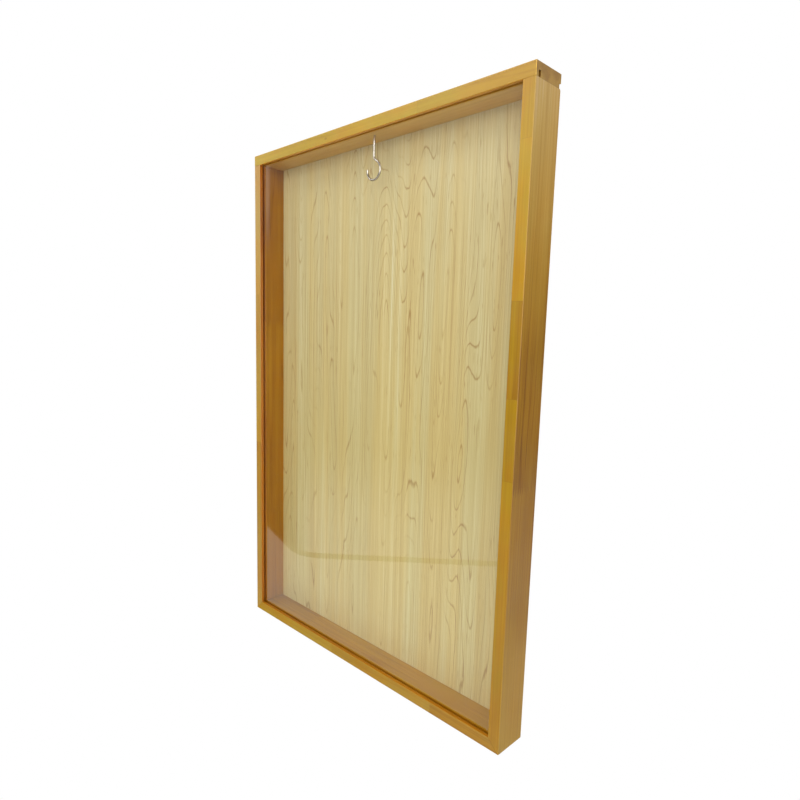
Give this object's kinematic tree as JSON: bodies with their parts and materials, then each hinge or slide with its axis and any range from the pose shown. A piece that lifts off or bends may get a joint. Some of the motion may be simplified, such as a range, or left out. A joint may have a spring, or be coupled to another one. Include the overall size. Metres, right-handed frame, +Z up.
{
  "type": "wall mounted showcase",
  "caption": "Shallow glazed wooden wall case for a hanging garment, with a lift-off top rail and hook, a pane that slides out upwards and a screwed back panel.",
  "frame": {"origin": "midway between the two keyhole entries that hold the case, on the wall plane", "axes": "+X to the right seen from the front, +Y into the wall, +Z up"},
  "size_m": [0.61, 0.057, 0.9],
  "materials": {
    "frame_wood": "clear satin lacquer on pale hardwood",
    "spline_wood": "unfinished",
    "dowel_wood": "unfinished beech",
    "clear_acrylic": "clear and polished",
    "panel_veneer": "pale maple face on fibreboard, satin",
    "zinc_plate": "zinc plated",
    "zinc_screws": "zinc plated",
    "nickel_hook": "bright nickel plated"
  },
  "bodies": {
    "case": {"left_stile": "frame_wood", "right_stile": "frame_wood", "bottom_rail": "frame_wood", "left_mitre_spline": "spline_wood", "right_mitre_spline": "spline_wood", "left_cap_dowels": "dowel_wood", "right_cap_dowels": "dowel_wood", "back_panel": "panel_veneer", "back_panel_screws": "zinc_screws", "left_hanger_plate": "zinc_plate", "right_hanger_plate": "zinc_plate", "left_hanger_screws": "zinc_screws", "right_hanger_screws": "zinc_screws"},
    "cap": {"top_rail": "frame_wood", "garment_hook": "nickel_hook"},
    "pane": {"front_pane": "clear_acrylic"}
  },
  "joints": [
    {"name": "cap_lift", "type": "slide", "parent": "case", "child": "cap", "axis": [0, 0, 1], "range_m": [0, 0.3]},
    {"name": "pane_slide", "type": "slide", "parent": "case", "child": "pane", "axis": [0, 0, 1], "range_m": [0, 0.24]}
  ],
  "couplings": [
    {"joint": "pane_slide", "follows": "cap_lift", "ratio": 0.8}
  ]
}
